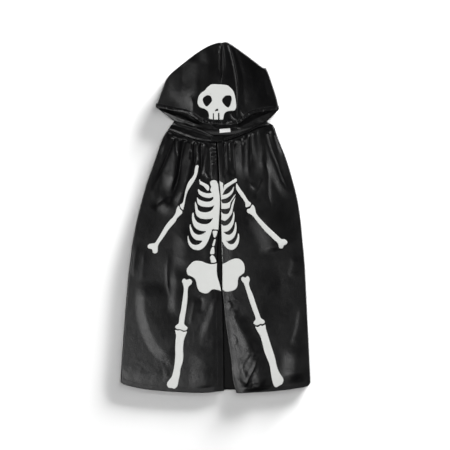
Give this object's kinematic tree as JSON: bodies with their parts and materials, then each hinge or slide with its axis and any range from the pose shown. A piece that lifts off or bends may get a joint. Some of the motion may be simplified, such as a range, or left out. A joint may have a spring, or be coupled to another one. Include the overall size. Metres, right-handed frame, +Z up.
{
  "type": "hooded costume cape",
  "caption": "Child's black satin hooded cape with a printed skeleton, laid flat; the hood folds down, the coupled fronts open and a hook-and-loop tab closes the neck.",
  "frame": {"origin": "middle of the bounding box's underside, on the surface that the cape is laid on", "axes": "+Y towards the hood's peak, +Z up out of the front of the cape, +X towards the wearer's left"},
  "size_m": [0.495, 0.91, 0.0223],
  "materials": {
    "satin": "black polyester satin, soft sheen",
    "print_film": "matt off-white screen print",
    "label": "white woven tape",
    "hook_and_loop": "black hook-and-loop tape",
    "binding": "black woven tape"
  },
  "bodies": {
    "root": {"back_panel": "satin", "side_fold_right": "satin", "side_fold_left": "satin", "neckband_back": "satin", "neck_tape": "binding", "brand_label": "label", "care_label": "label"},
    "hood": {"hood_right_panel": "satin", "hood_left_panel": "satin", "hood_rim_hem": "satin", "print_skull": "print_film"},
    "front_right": {"front_right_panel": "satin", "front_right_facing": "satin", "neckband_right": "satin", "loop_patch": "hook_and_loop", "print_upper_arm_right": "print_film", "print_forearm_right": "print_film", "print_ribs_right": "print_film", "print_spine": "print_film", "print_pelvis_right": "print_film", "print_thigh_right": "print_film", "print_shin_right": "print_film"},
    "front_left": {"front_left_panel": "satin", "front_left_facing": "satin", "neckband_left": "satin", "print_upper_arm_left": "print_film", "print_forearm_left": "print_film", "print_ribs_left": "print_film", "print_pelvis_left": "print_film", "print_thigh_left": "print_film", "print_shin_left": "print_film"},
    "closure_tab": {"closure_tab": "satin", "hook_patch": "hook_and_loop"}
  },
  "joints": [
    {"name": "hood_fold", "type": "hinge", "parent": "root", "child": "hood", "pos_m": [0, 0.252, 0.015], "axis": [1, 0, 0], "range_deg": [0, 165]},
    {"name": "front_left_swing", "type": "hinge", "parent": "root", "child": "front_left", "pos_m": [0.132, 0.252, 0.01], "axis": [-0.1606, 0.987, 0], "range_deg": [0, 165]},
    {"name": "front_right_swing", "type": "hinge", "parent": "root", "child": "front_right", "pos_m": [-0.105, 0.252, 0.01], "axis": [-0.1983, -0.9801, 0], "range_deg": [0, 165]},
    {"name": "closure_tab_peel", "type": "hinge", "parent": "front_left", "child": "closure_tab", "pos_m": [0.02, 0.205, 0.011], "axis": [0, 1, 0], "range_deg": [0, 170]}
  ],
  "couplings": [
    {"joint": "front_right_swing", "follows": "front_left_swing", "ratio": 1}
  ]
}
